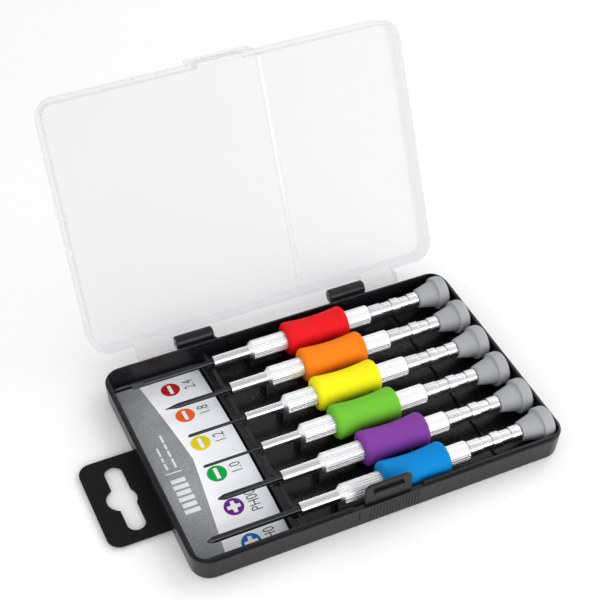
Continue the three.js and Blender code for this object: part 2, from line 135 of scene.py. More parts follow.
# places along a driver, before it is shifted to where it lies
NOSE = {"tip": -31.3, "bore_end": -22.3, "blade_end": -22.7, "end": -16.0, "play": 0.15}
KNURL = {"radius": 3.9, "depth": 0.26, "start": -16.3, "cone_end": -14.9, "end": 36.9}
RINGS = [(37.1, 42.5, 3.2), (42.8, 46.8, 2.9), (47.0, 50.6, 3.35), (50.9, 54.7, 2.9), (55.0, 59.2, 3.25)]
REAR = {"start": 36.5, "neck": 2.4, "edge": 0.05, "spindle": 1.6, "end": 68.6}
FLAT_GRIND = {"length": 6.0, "for_radius": 1.05, "edge": 0.22}
CROSS_GRIND = {"cone": 2.4, "point": 0.3, "depth": 0.42, "half": 0.375, "reach": 1.7}
SLEEVE = {"bore": 4.1, "ends": 6.9, "waist": 6.15, "corner": 1.9, "corner_steps": 8, "waist_steps": 28}
CAP = {"flange": 4.6, "bore": 1.9, "bore_end": 2.6}


def driver_y(index):
    return PITCH * (2.5 - index)


# ---- solids, in millimetres ----
def linked(mesh, name="solid"):
    obj = bpy.data.objects.new(name, mesh)
    bpy.context.scene.collection.objects.link(obj)
    return obj


def solid(verts, faces, soften=0.0, segments=2):
    """An object of one closed skin, with its sharp edges rounded by soften."""
    bm = bmesh.new()
    made = [bm.verts.new(v) for v in verts]
    for face in faces:
        bm.faces.new([made[i] for i in face])
    bmesh.ops.remove_doubles(bm, verts=bm.verts, dist=1e-5)
    bmesh.ops.recalc_face_normals(bm, faces=bm.faces)
    if soften:
        edges = [e for e in bm.edges if e.calc_face_angle(0.0) > math.radians(25)]
        shape = {"offset": soften, "segments": segments, "profile": 0.5, "affect": "EDGES"}
        bmesh.ops.bevel(bm, geom=edges, clamp_overlap=True, **shape)
    mesh = bpy.data.meshes.new("solid")
    bm.to_mesh(mesh)
    bm.free()
    return linked(mesh)


def skin(rings, closed=False):
    """Vertices and faces of equal rings joined one to the next; closed joins the last to the first."""
    count = len(rings[0])
    verts = [p for ring in rings for p in ring]
    faces = []
    spans = len(rings) if closed else len(rings) - 1
    for k in range(spans):
        a, b = k * count, ((k + 1) % len(rings)) * count
        for i in range(count):
            j = (i + 1) % count
            faces.append((a + i, a + j, b + j, b + i))
    if not closed:
        faces.append(tuple(range(count))[::-1])
        faces.append(tuple(range(len(verts) - count, len(verts))))
    return verts, faces


def prism(outline, axis, low, high, soften=0.0):
    """An outline pushed along an axis: [y, z] along X, [x, z] along Y or [x, y] along Z."""
    order = {"X": (2, 0, 1), "Y": (0, 2, 1), "Z": (0, 1, 2)}[axis]
    rings = [[tuple((a, b, c)[i] for i in order) for a, b in outline] for c in (low, high)]
    return solid(*skin(rings), soften)


def box(x, y, z, soften=0.0):
    return prism([(x[0], y[0]), (x[1], y[0]), (x[1], y[1]), (x[0], y[1])], "Z", z[0], z[1], soften)


def rounded(path, reach, steps=4):
    """The open path with its inner corners curved; reach is how far from the corner each curve starts."""
    out = [Vector(path[0])]
    for i in range(1, len(path) - 1):
        before, corner, after = Vector(path[i - 1]), Vector(path[i]), Vector(path[i + 1])
        wanted = reach[i] if isinstance(reach, list) else reach
        start, end = before - corner, after - corner
        f = min(wanted, start.length * 0.48, end.length * 0.48)
        if f < 1e-4:
            out.append(corner)
            continue
        p, q = corner + start.normalized() * f, corner + end.normalized() * f
        for k in range(steps + 1):
            t = k / steps
            out.append(p * (1 - t) ** 2 + corner * (2 * t * (1 - t)) + q * t * t)
    return out + [Vector(path[-1])]


def turned(profile, steps, closed=False, centre=(0.0, 0.0)):
    """(x, radius[, groove depth]) points turned about a line along X through centre (y, z).

    A groove is cut at every FLUTE_STEPS-th step, where a depth is given.
    """
    rings = []
    for point in profile:
        x, radius = point[0], point[1]
        groove = point[2] if len(point) > 2 else 0.0
        ring = []
        for i in range(steps):
            angle = 2 * math.pi * i / steps
            r = radius - (groove if i % FLUTE_STEPS == 0 else 0.0)
            ring.append((x, centre[0] + r * math.cos(angle), centre[1] + r * math.sin(angle)))
        rings.append(ring)
    return solid(*skin(rings, closed))


def rod(x, y, z, radius, steps, soften=0.0):
    profile = [(x[0], CORE), (x[0], radius), (x[1], radius), (x[1], CORE)]
    return turned(rounded(profile, soften, 3) if soften else profile, steps, centre=(y, z))


def rounded_ring(inset, z, radius):
    half_x, half_y = CASE["half_x"] - inset, CASE["half_y"] - inset
    steps = CASE["corner_steps"]
    points = []
    for corner in range(4):
        cx = (half_x - radius) * (1 if corner in (0, 3) else -1)
        cy = (half_y - radius) * (1 if corner < 2 else -1)
        for i in range(steps + 1):
            angle = math.pi / 2 * (corner + i / steps)
            points.append((cx + radius * math.cos(angle), cy + radius * math.sin(angle), z))
    return points


def lofted(path):
    reach = [p[3] for p in path]
    return solid(*skin([rounded_ring(*p) for p in rounded([p[:3] for p in path], reach)]))


def merged(*objects):
    """Objects that don't overlap, as one object of several skins."""
    bm = bmesh.new()
    for obj in objects:
        bm.from_mesh(obj.data)
        bpy.data.objects.remove(obj)
    mesh = bpy.data.meshes.new("solid")
    bm.to_mesh(mesh)
    bm.free()
    return linked(mesh)


def combined(obj, operation, *others):
    """obj joined with (UNION) or cut by (DIFFERENCE) each of the others in turn, which are used up."""
    for other in others:
        step = obj.modifiers.new("step", "BOOLEAN")
        step.operation, step.object, step.solver = operation, other, "MANIFOLD"
        graph = bpy.context.evaluated_depsgraph_get()
        mesh = bpy.data.meshes.new_from_object(obj.evaluated_get(graph))
        obj.modifiers.clear()
        obj.data = mesh
        bpy.data.objects.remove(other)
    return obj


def piece(obj, name, body, material, stands_for=(), sharp=32):
    """The finished piece: in metres, smooth up to a sharp angle, riding its body."""
    obj.name = obj.data.name = name
    obj.data.transform(Matrix.Scale(MM, 4))
    obj.data.shade_smooth()
    obj.data.set_sharp_from_angle(angle=math.radians(sharp))
    obj.data.materials.clear()
    obj.data.materials.append(material)
    for polygon in obj.data.polygons:
        polygon.material_index = 0
    shading = obj.modifiers.new("even_shading", "WEIGHTED_NORMAL")
    shading.keep_sharp, shading.weight = True, 100
    if stands_for:
        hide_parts(*stands_for)
    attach(obj, body)
    return obj


# ---- materials ----
def linear(colour):
    """An sRGB hex colour as linear RGBA."""
    parts = [(colour >> shift & 255) / 255 for shift in (16, 8, 0)]
    return tuple(c / 12.92 if c < 0.04045 else ((c + 0.055) / 1.055) ** 2.4 for c in parts) + (1.0,)


class Nodes:
    """A material's node tree with short ways to add to it."""

    def __init__(self, name):
        self.material = bpy.data.materials.new(name)
        self.material.use_nodes = True
        self.tree = self.material.node_tree
        self.shader = self.tree.nodes["Principled BSDF"]
        self.place = self.add("ShaderNodeTexCoord").outputs["Object"]

    def add(self, kind, **facts):
        node = self.tree.nodes.new(kind)
        for key, value in facts.items():
            setattr(node, key, value)
        return node

    def link(self, source, target):
        self.tree.links.new(source, target)

    def noise(self, scale, detail=3.0, stretch=None):
        """Noise of 0 to 1; scale is features per metre, stretch multiplies it along X, Y and Z."""
        place = self.place
        if stretch:
            mapping = self.add("ShaderNodeMapping")
            mapping.inputs["Scale"].default_value = stretch
            self.link(place, mapping.inputs["Vector"])
            place = mapping.outputs["Vector"]
        node = self.add("ShaderNodeTexNoise")
        node.inputs["Scale"].default_value = scale
        node.inputs["Detail"].default_value = detail
        self.link(place, node.inputs["Vector"])
        return node.outputs["Fac"]

    def spread(self, source, low, high, start=0.3, end=0.7):
        """source between start and end taken to between low and high."""
        node = self.add("ShaderNodeMapRange")
        for key, value in zip(("From Min", "From Max", "To Min", "To Max"), (start, end, low, high)):
            node.inputs[key].default_value = value
        self.link(source, node.inputs["Value"])
        return node.outputs["Result"]

    def mix(self, factor, first, second):
        node = self.add("ShaderNodeMix", data_type="RGBA")
        self.link(factor, node.inputs["Factor"])
        for socket, value in ((node.inputs["A"], first), (node.inputs["B"], second)):
            self.colour(socket, value)
        return node.outputs["Result"]

    def colour(self, socket, value):
        if isinstance(value, (tuple, list)):
            socket.default_value = value
        else:
            self.link(value, socket)

    def math(self, operation, first, second=None):
        node = self.add("ShaderNodeMath", operation=operation)
        for socket, value in zip(node.inputs, (first, second)):
            if value is None:
                continue
            if isinstance(value, (int, float)):
                socket.default_value = value
            else:
                self.link(value, socket)
        return node.outputs["Value"]

    def bump(self, height, distance, strength=1.0):
        node = self.add("ShaderNodeBump")
        node.inputs["Strength"].default_value = strength
        node.inputs["Distance"].default_value = distance
        self.link(height, node.inputs["Height"])
        self.link(node.outputs["Normal"], self.shader.inputs["Normal"])

    def set(self, **values):
        for key, value in values.items():
            self.shader.inputs[key.replace("_", " ")].default_value = value


def scaled(colour, share):
    return tuple(min(1.0, c * share) for c in colour[:3]) + (1.0,)


def moulded(name, colour, rough, spread=0.12, grain=2600, depth=0.00001, coarse=60, shine=0.5):
    """Moulded plastic or rubber: a fine grain, and a slow drift in colour and gloss."""
    made = Nodes(name)
    base = linear(colour)
    drift = made.spread(made.noise(coarse, 4.0), 0.0, 1.0)
    tone = made.mix(drift, scaled(base, 1 - spread), scaled(base, 1 + spread))
    made.link(tone, made.shader.inputs["Base Color"])
    gloss = made.spread(made.noise(grain * 0.4), rough - 0.06, rough + 0.06)
    made.link(gloss, made.shader.inputs["Roughness"])
    made.bump(made.noise(grain, 2.0), depth, 0.5)
    made.set(Specular_IOR_Level=shine)
    return made


def metal(name, colour, rough, stretch, drift=0.02, grain=2500):
    """Turned or ground metal: faint streaks along stretch."""
    made = Nodes(name)
    made.set(Metallic=1.0)
    base = linear(colour)
    streak = made.spread(made.noise(grain, 3.0, stretch), 0.0, 1.0)
    tone = made.mix(streak, scaled(base, 1 - drift), scaled(base, 1 + drift))
    made.link(tone, made.shader.inputs["Base Color"])
    made.link(made.spread(streak, rough - drift, rough + drift, 0.0, 1.0), made.shader.inputs["Roughness"])
    return made


def clear_plastic(name, haze):
    """Clear polystyrene: seen through with a faint grey, greyer and shinier where it is met at a slant.

    haze is the share of light it scatters where it is met square on.
    """
    made = Nodes(name)
    slant = made.add("ShaderNodeLayerWeight")
    slant.inputs["Blend"].default_value = 0.35
    seen = made.add("ShaderNodeBsdfTransparent")
    facing = made.spread(slant.outputs["Facing"], 0.0, 1.0, 0.1, 0.95)
    tint = made.mix(facing, (0.953, 0.953, 0.955, 1.0), (0.925, 0.925, 0.93, 1.0))
    made.link(tint, seen.inputs["Color"])
    made.set(Base_Color=(0.9, 0.9, 0.91, 1.0), IOR=1.5)
    made.link(made.spread(made.noise(90, 3.0), 0.03, 0.09), made.shader.inputs["Roughness"])
    shine = made.spread(slant.outputs["Fresnel"], haze, haze + 0.4, 0.0, 1.0)
    mix = made.add("ShaderNodeMixShader")
    made.link(shine, mix.inputs[0])
    made.link(seen.outputs["BSDF"], mix.inputs[1])
    made.link(made.shader.outputs["BSDF"], mix.inputs[2])
    made.link(mix.outputs["Shader"], made.tree.nodes["Material Output"].inputs["Surface"])
    return made.material


def printed_card():
    """Silver-white card with a grey mottled band whose edge comes to a point."""
    made = Nodes("printed_card")
    split = made.add("ShaderNodeSeparateXYZ")
    made.link(made.place, split.inputs["Vector"])
    across = made.math("ABSOLUTE", split.outputs["Y"])
    share = made.math("MULTIPLY", across, -BAND["apex"] / LABEL["half"])
    edge = made.math("ADD", share, (BAND["edge"] + BAND["apex"]) * MM)
    in_band = made.math("LESS_THAN", split.outputs["X"], edge)
    speckle = made.spread(made.noise(1400, 4.0), 0.0, 1.0)
    cloud = made.spread(made.noise(70, 3.0), 0.0, 1.0)
    darker = made.mix(speckle, linear(0x77797D), linear(0x8E9094))
    lighter = made.mix(speckle, linear(0x8A8C90), linear(0xA3A5A8))
    grey = made.mix(cloud, darker, lighter)
    fade = made.spread(split.outputs["X"], 0.0, 1.0, -0.062, -0.040)
    silver = made.mix(fade, linear(0xFBFBFE), linear(0xEEF0F5))
    made.link(made.mix(in_band, silver, grey), made.shader.inputs["Base Color"])
    made.link(made.spread(speckle, 0.38, 0.46, 0.0, 1.0), made.shader.inputs["Roughness"])
    made.bump(made.noise(900, 2.0), 0.000006, 0.3)
    return made.material


def rubber(name, tone):
    return moulded(f"{name}_rubber", tone, 0.6, spread=0.03, grain=3200, shine=0.12).material


def ink(name, colour, rough=0.4):
    return moulded(name, colour, rough, spread=0.05, depth=0.000003, shine=0.2).material


# ---- camera, light and floor ----
# degrees, and metres for the aim and the distance
CAMERA = {
    "azimuth": -25.12,
    "elevation": 42.77,
    "roll": 0.773,
    "aim": (0.0078, 0.0447, 0.0234),
    "distance": 0.5635,
}
LENS, SENSOR = 84.92, 36.0  # millimetres
SKY_STRENGTH = 1.15
SKY = ((0.0, 0.92), (0.3, 0.92), (0.7, 0.64), (0.95, 0.5), (1.0, 0.5))  # (sine of the height, grey)


def aimed(azimuth, elevation, roll, aim, distance):
    """The matrix of something that looks at aim from that side; azimuth 0 looks along +Y."""
    a, e, r = math.radians(azimuth), math.radians(elevation), math.radians(roll)
    back = Vector((math.sin(a) * math.cos(e), -math.cos(a) * math.cos(e), math.sin(e)))
    level = Vector((math.cos(a), math.sin(a), 0.0))
    upright = back.cross(level)
    right = level * math.cos(r) + upright * math.sin(r)
    up = upright * math.cos(r) - level * math.sin(r)
    matrix = Matrix((right, up, back)).transposed().to_4x4()
    matrix.translation = Vector(aim) + back * distance
    return matrix


def camera():
    data = bpy.data.cameras.new("camera")
    data.lens, data.sensor_width = LENS, SENSOR
    data.clip_start, data.clip_end = 0.01, 50.0
    obj = bpy.data.objects.new("camera", data)
    bpy.context.scene.collection.objects.link(obj)
    obj.matrix_world = aimed(**CAMERA)
    bpy.context.scene.camera = obj


def softbox(name, azimuth, elevation, distance, width, height, power):
    data = bpy.data.lights.new(name, "AREA")
    data.shape, data.size, data.size_y, data.energy = "RECTANGLE", width, height, power
    obj = bpy.data.objects.new(name, data)
    bpy.context.scene.collection.objects.link(obj)
    obj.matrix_world = aimed(azimuth, elevation, 0.0, (0.0, 0.01, 0.01), distance)


def surroundings():
    world = bpy.data.worlds.new("studio")
    world.use_nodes = True
    bpy.context.scene.world = world
    nodes, links = world.node_tree.nodes, world.node_tree.links
    place = nodes.new("ShaderNodeTexCoord")
    split = nodes.new("ShaderNodeSeparateXYZ")
    ramp = nodes.new("ShaderNodeValToRGB")
    while len(ramp.color_ramp.elements) < len(SKY):
        ramp.color_ramp.elements.new(0.5)
    for element, (position, grey) in zip(ramp.color_ramp.elements, SKY):
        element.position, element.color = position, (grey, grey, grey, 1.0)
    links.new(place.outputs["Generated"], split.inputs["Vector"])
    links.new(split.outputs["Z"], ramp.inputs["Fac"])
    links.new(ramp.outputs["Color"], nodes["Background"].inputs["Color"])
    nodes["Background"].inputs["Strength"].default_value = SKY_STRENGTH


def floor():
    half = 9000.0
    ground = box((-half, half), (-half, half), (-20.0, -0.05))
    ground.name = ground.data.name = "floor"
    ground.data.transform(Matrix.Scale(MM, 4))
    made = Nodes("pale_floor")
    tone = made.mix(made.noise(3.0), linear(0xFAFAFA), linear(0xFCFCFC))
    made.link(tone, made.shader.inputs["Base Color"])
    made.set(Roughness=0.9)
    ground.data.materials.append(made.material)


# ---- case ----
def arc(cx, cy, radius, start, end, steps=12):
    angles = [math.radians(start + (end - start) * i / steps) for i in range(steps + 1)]
    return [(cx + radius * math.cos(a), cy + radius * math.sin(a)) for a in angles]


def circle(cx, cy, radius):
    return arc(cx, cy, radius, 0, 355, 71)


def tray_knuckles():
    """Round-ended barrels on webs from the back wall, each with a flare at its inner end."""
    y, z, radius = HINGE["y"], HINGE["z"], HINGE["tray_radius"]
    barrels = merged(*[rod(x, y, z, radius, HINGE["steps"], 0.9) for x in TRAY_KNUCKLES])
    webs = merged(*[prism(TRAY_WEB, "X", low + 0.5, high - 0.5, 0.2) for low, high in TRAY_KNUCKLES])
    flares = []
    for side, (low, high) in enumerate(TRAY_KNUCKLES):
        end, way = (high - FLARE["inside"], 1) if side == 0 else (low + FLARE["inside"], -1)
        outline = [(end + way * out, back) for out, back in FLARE_EDGE] + [(end, y)]
        flares.append(prism(outline, "Z", FLARE["low"], FLARE["high"], 0.2))
    return barrels, webs, merged(*flares)


def tongue():
    """A round-cornered plate that stands behind a ledge of the rim, with a proud bar for its catch."""
    (left, right), corner, top = TONGUE["x"], TONGUE["corner"], TONGUE["top"]
    outline = [(left, TONGUE["foot"]), (right, TONGUE["foot"])]
    outline += arc(right - corner, top - corner, corner, 0, 90, 8)
    outline += arc(left + corner, top - corner, corner, 90, 180, 8)
    plate = prism(outline, "Y", TONGUE["front"], TONGUE["back"], 0.25)
    bar_y = (CATCH["front"], TONGUE["front"] + 0.3)
    return combined(plate, "UNION", box(CATCH["x"], bar_y, CATCH["z"], 0.3))


def grip_ridges():
    low, high, proud = RIDGES["low"], RIDGES["high"], RIDGES["proud"]
    outline = [
        (-50.0, low),
        (-50.3 - proud, low),
        (-50.93 - proud, high - 0.3),
        (-50.9, high),
        (-50.0, high),
    ]
    starts = [RIDGES["first"] + i * RIDGES["pitch"] for i in range(RIDGES["count"])]
    return merged(*[prism(outline, "X", x, x + RIDGES["width"], 0.12) for x in starts])


def comb():
    """A wall with a flared slot for each blade."""
    plate = prism(COMB_PROFILE, "Y", -COMB["half"], COMB["half"], 0.15)
    neck, mouth, top = COMB["neck"], COMB["mouth"], COMB["open"]
    slots = []
    for i, colour in enumerate(COLOURS):
        blade, y = TIPS[colour][0], driver_y(i)
        half, low = blade + COMB["play"], min(AXIS_Z - blade - 0.55, COMB["seat"])
        outline = [(y - half, low), (y + half, low), (y + half, neck)]
        outline += [(y + mouth, top), (y - mouth, top), (y - half, neck)]
        slots.append(prism(outline, "X", -37, -31))
    return combined(plate, "DIFFERENCE", merged(*slots))


def nubs():
    """Tapered posts between the drivers and at both sides."""
    made = []
    for y in [-SIDE_NUB] + [k * PITCH for k in (-2, -1, 0, 1, 2)] + [SIDE_NUB]:
        nub = turned(rounded(NUB["profile"], 0.4), 24)
        upright = Matrix.Rotation(-math.pi / 2, 4, "Y")
        nub.data.transform(Matrix.Translation((NUB["x"], y, 0)) @ upright)
        made.append(nub)
    return merged(*made)


def cradles():
    made = []
    for i, colour in enumerate(COLOURS):
        y, nose, half = driver_y(i), TIPS[colour][1], CRADLE["half"]
        block = box(CRADLE["x"], (y - half, y + half), (0.5, AXIS_Z - nose + CRADLE["wrap"]), 0.15)
        bed = rod((-19, -15), y, AXIS_Z, nose + CRADLE["play"], 40)
        made.append(combined(block, "DIFFERENCE", bed))
    return merged(*made)


def tray_bores():
    """A blind bore in the outer end of each knuckle."""
    made = []
    for side, (low, high) in enumerate(TRAY_KNUCKLES):
        x = (low - 0.1, low + PIN["depth"]) if side == 0 else (high - PIN["depth"], high + 0.1)
        made.append(rod(x, HINGE["y"], HINGE["z"], PIN["bore"], PIN["steps"]))
    return made


def tray():
    half, y, wall = POCKET["half"], TAB["y"], POCKET["wall"]
    gap = box(LATCH_GAP["x"], LATCH_GAP["y"], (CASE["rim"], LATCH_GAP["top"]))
    shell = combined(lofted(TRAY_PATH), "DIFFERENCE", gap)
    rib = box((49.3, 50.3), (-COMB["half"], COMB["half"]), (0.5, 2.0), 0.2)
    roof_y = (y - half - wall, y + half + wall)
    roof = box((-73.5, POCKET["end"] + wall), roof_y, (0.5, POCKET["top"]), 0.2)
    hollow = (POCKET["skin"], POCKET["roof"])
    room = box((POCKET["front"], POCKET["end"]), (y - half, y + half), hollow)
    mouth = box((-76.0, -72.0), (y - TAB["half"] - 0.3, y + TAB["half"] + 0.3), hollow)
    window = box((-68.0, -48.0), (y - 8.0, y + 8.0), (-1.0, 1.0))
    line = box(LATCH_LINE["x"], LATCH_LINE["y"], LATCH_LINE["z"])
    parts = [comb(), rib, roof, *tray_knuckles(), tongue(), grip_ridges(), nubs(), cradles()]
    made = combined(shell, "UNION", *parts)
    made = combined(made, "DIFFERENCE", line, room, mouth, window, *tray_bores())
    return piece(made, "tray", "case_base", BLACK_PLASTIC, ["base_tray"])


def lid_knuckles():
    """A knuckle, its web and its stub pin at each side, for the shut lid."""
    y, z, radius = HINGE["y"], HINGE["z"], HINGE["lid_radius"]
    web = [(50.7, 10.7), (52.3, 10.5), (y, z), (y, z + radius), (52.9, 13.9), (50.7, 15.4)]
    made = []
    for side, (low, high) in enumerate(LID_KNUCKLES):
        pin = (high - 0.2, high + PIN["length"]) if side == 0 else (low - PIN["length"], low + 0.2)
        made.append(rod((low, high), y, z, radius, HINGE["steps"], 0.25))
        made.append(prism(web, "X", low, high))
        made.append(rod(pin, y, z, PIN["radius"], PIN["steps"]))
    return made


def lid():
    """Drawn shut, then swung open about the hinge."""
    inside, ceiling, play = HOUSING["inside"], LID["ceiling"], CATCH["play"]
    housing = box(HOUSING["x"], (HOUSING["front"], -50.6), (LID["rim"], HOUSING["top"]), 0.3)
    rib_x = (LID_RIB["x"] - LID_RIB["half"], LID_RIB["x"] + LID_RIB["half"])
    rib_z = (ceiling - LID_RIB["depth"], ceiling + LID_RIB["sunk"])
    rib = box(rib_x, (-LID_RIB["reach"], LID_RIB["reach"]), rib_z, 0.2)
    room_x = (TONGUE["x"][0] - 0.5, TONGUE["x"][1] + 0.5)
    room = box(room_x, (inside, HOUSING["behind"]), (LID["rim"] - 1, ceiling))
    window = box(
        (CATCH["x"][0] - play, CATCH["x"][1] + play),
        (HOUSING["front"] - 1, inside + 0.5),
        (CATCH["z"][0] - 0.3, CATCH["z"][1] + 0.3),
    )
    made = combined(lofted(LID_PATH), "UNION", housing, *lid_knuckles())
    made = combined(made, "DIFFERENCE", room, window)
    to_hinge = Matrix.Translation((0, HINGE["y"], HINGE["z"]))
    swing = to_hinge @ Matrix.Rotation(-math.radians(LID["open"]), 4, "X") @ to_hinge.inverted()
    for obj in (made, rib):
        obj.data.transform(swing)
    piece(made, "clear_lid", "lid", CLEAR_PLASTIC, ["lid"])
    piece(rib, "lid_rib", "lid", CLEAR_RIB)


def hang_tab():
    """A plate with a display slot and a wider stop at its inner end."""
    low_y, high_y, corner = TAB["y"] - TAB["half"], TAB["y"] + TAB["half"], TAB["corner"]
    inner, neck, proud = TAB["inner"], TAB["inner"] - TAB_STOP["length"], TAB_STOP["proud"]
    outline = [(inner, low_y - proud), (inner, high_y + proud), (neck, high_y + proud), (neck, high_y)]
    outline += arc(TAB["outer"] + corner, high_y - corner, corner, 90, 180)
    outline += arc(TAB["outer"] + corner, low_y + corner, corner, 180, 270)
    outline += [(neck, low_y), (neck, low_y - proud)]
    run, radius = SLOT["half_run"], SLOT["radius"]
    slot = arc(SLOT["x"], TAB["y"] + run, radius, 0, 180) + arc(SLOT["x"], TAB["y"] - run, radius, 180, 360)
    centre = prism(circle(SLOT["circle_x"], TAB["y"], SLOT["circle"]), "Z", 0, 4)
    hole = combined(prism(slot, "Z", 0, 4), "UNION", centre)
    plate = combined(prism(outline, "Z", TAB["low"], TAB["high"], 0.12), "DIFFERENCE", hole)
    return piece(plate, "hanger", "hang_tab", MATT_PLASTIC, ["hanger_tab"])


# ---- label ----
def card_top(y):
    bow = LABEL["rise"] * math.cos(math.pi / 2 * y / LABEL["half"])
    return LABEL["low"] + LABEL["thickness"] + bow


def card():
    (left, right), half, thick = LABEL["x"], LABEL["half"], LABEL["thickness"]
    rings = []
    for i in range(2 * LABEL["halves"] + 1):
        y = half * (i / LABEL["halves"] - 1)
        top = card_top(y)
        rings.append([(left, y, top - thick), (right, y, top - thick), (right, y, top), (left, y, top)])
    made = solid(*skin(rings))
    return piece(made, "size_card", "case_base", PRINTED_CARD, ["label_card"])


def printed(outline, lift):
    """A flat outline of [x, y] points as ink on the card, with its top lift above it."""
    return solid(*skin([[(x, y, card_top(y) + z) for x, y in outline] for z in (-0.08, lift)]))


def bar(x, y, half_x, half_y, lift):
    corners = [(-1, -1), (1, -1), (1, 1), (-1, 1)]
    return printed([(x + a * half_x, y + b * half_y) for a, b in corners], lift)


def cross(x, y, lift):
    """A plus sign whose inner corners are cut across."""
    end, arm, web = ICON["long"], ICON["arm"], ICON["arm"] + ICON["web"]
    quarter = [(end, -arm), (end, arm), (web, arm), (arm, web)]
    outline = []
    for _ in range(4):
        outline += quarter
        quarter = [(-b, a) for a, b in quarter]
    return printed([(x + u, y + v) for u, v in outline], lift)


def size_numeral(text, y):
    """Thin numerals that read along +Y."""
    curve = bpy.data.curves.new("size", "FONT")
    curve.body, curve.size, curve.extrude, curve.offset = text, NUMERAL["size"], 0.05, NUMERAL["thin"]
    curve.align_x = "CENTER"
    curve.resolution_u = 4
    source = bpy.data.objects.new("size", curve)
    bpy.context.scene.collection.objects.link(source)
    graph = bpy.context.evaluated_depsgraph_get()
    graph.update()
    mesh = bpy.data.meshes.new_from_object(source.evaluated_get(graph))
    bpy.data.objects.remove(source)
    for vertex in mesh.vertices:
        along, up, out = vertex.co
        place = y + along * NUMERAL["narrow"]
        vertex.co = (NUMERAL["x"] - up, place, card_top(place) + out)
    return linked(mesh)


def label_print():
    rings, icons, numerals = [], [], []
    for i, colour in enumerate(COLOURS):
        x, y, radius = DISC["x"], driver_y(i) + DISC["shift_y"], DISC["radius"]
        disc = printed(circle(x, y, radius), 0.05)
        piece(disc, f"{colour}_disc", "case_base", INKS[colour])
        rings.append(printed(circle(x, y, radius + DISC["outline"]), 0.03))
        if TIPS[colour][2] == "flat":
            icons.append(bar(x, y, ICON["bar"], ICON["long"], 0.08))
        else:
            icons.append(cross(x, y, 0.08))
        numerals.append(size_numeral(SIZE_TEXT[colour], y))
    piece(merged(*rings), "disc_outlines", "case_base", WHITE_INK)
    piece(merged(*icons), "tip_icons", "case_base", WHITE_INK)
    piece(merged(*numerals), "size_numerals", "case_base", GREY_INK)


def band_marks():
    """Plain bars where a title would stand: six bold ones, a thin divider and two broken lines."""
    lift = 0.05
    marks = [bar(-65.2, -3.3, 3.3, 0.22, lift)]
    for k in range(6):
        marks.append(bar(-65.0, -22.0 + 2.9 * k, 3.0 - 0.25 * (k % 2), 0.95, lift))
    for x, lengths in ((-66.8, (3.2, 2.1, 4.4)), (-63.4, (4.6, 3.4, 2.6, 4.2))):
        y = -1.2
        for length in lengths:
            marks.append(bar(x, y + length / 2, 0.42, length / 2, lift))
            y += length + 0.9
    piece(merged(*marks), "band_marks", "case_base", PALE_INK)


# ---- screwdrivers ----
class Place:
    """Where one screwdriver lies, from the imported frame's boxes, in millimetres."""

    def __init__(self, index, colour):
        self.colour = colour
        low, high = (Vector(c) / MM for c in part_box(f"{colour}_sleeve"))
        self.y, self.z = driver_y(index), AXIS_Z
        self.sleeve = (low.x, high.x)
        barrel_low = Vector(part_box(f"{colour}_barrel")[0]) / MM
        self.shift = barrel_low.x - NOSE["tip"]
        self.tip = Vector(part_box(f"{colour}_blade")[0]).x / MM
        self.cap = [Vector(c).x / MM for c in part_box(f"{colour}_cap")]
        self.blade, self.nose, self.kind, self.roll = TIPS[colour]

    def laid(self, obj, shift=True):
        """obj, drawn about the X axis, taken to where the screwdriver lies."""
        obj.data.transform(Matrix.Translation((self.shift if shift else 0.0, self.y, self.z)))
        return obj

    def finish(self, obj, part, slot, material, cad=None, body="driver", shift=True):
        """The part of this screwdriver as a piece, in place of the CAD node named after cad."""
        name = self.colour
        stands_for = [f"{name}_{cad}"] if cad else ()
        piece(self.laid(obj, shift), f"{name}_{part}", f"{name}_{body}", material, stands_for)


def rolled(obj, degrees):
    obj.data.transform(Matrix.Rotation(math.radians(degrees), 4, "X"))
    return obj


def cross_tip(place, tip):
    """The outline of a cone-ended blade, and the four grinds between its wings."""
    radius, cone, end = place.blade, CROSS_GRIND["cone"], NOSE["blade_end"]
    profile = [(tip, CORE), (tip, CROSS_GRIND["point"]), (tip + cone, radius), (end, radius), (end, CORE)]
    depth, half = radius * CROSS_GRIND["depth"], radius * CROSS_GRIND["half"]
    outline = [
        (tip - 1, depth),
        (tip + 0.2, depth),
        (tip + cone * CROSS_GRIND["reach"], radius + 0.2),
        (tip - 1, radius + 0.6),
    ]
    turns = [place.roll + 90 * quarter for quarter in range(4)]
    return profile, [rolled(prism(outline, "Y", -half, half), turn) for turn in turns]


def flat_tip(place, tip):
    """The outline of a round blade, and the two grinds that leave a flat edge."""
    radius, end, edge = place.blade, NOSE["blade_end"], FLAT_GRIND["edge"]
    profile = [(tip, CORE), (tip, radius), (end, radius), (end, CORE)]
    length = FLAT_GRIND["length"] * radius / FLAT_GRIND["for_radius"]
    side = [(tip - 1, edge), (tip + 0.4, edge), (tip + length, radius + 0.1), (tip - 1, radius + 0.6)]
    return profile, [rolled(prism([(x, z * s) for x, z in side], "Y", -3, 3), place.roll) for s in (1, -1)]


def blade(place):
    shaped = cross_tip if place.kind == "cross" else flat_tip
    profile, grinds = shaped(place, place.tip - place.shift)
    made = combined(turned(profile, 40), "DIFFERENCE", *grinds)
    place.finish(made, "shank", "black_steel", BLACK_STEEL, "blade")


def nose_tube(place):
    bore, radius = place.blade + NOSE["play"], place.nose
    profile = [(NOSE["bore_end"], CORE), (NOSE["bore_end"], bore), (NOSE["tip"], bore)]
    profile += [(NOSE["tip"], radius), (NOSE["end"], radius), (NOSE["end"], CORE)]
    made = turned(rounded(profile, [0, 0, 0.1, 0.25, 0, 0]), 64)
    place.finish(made, "nose_tube", "aluminium", POLISHED, "barrel")


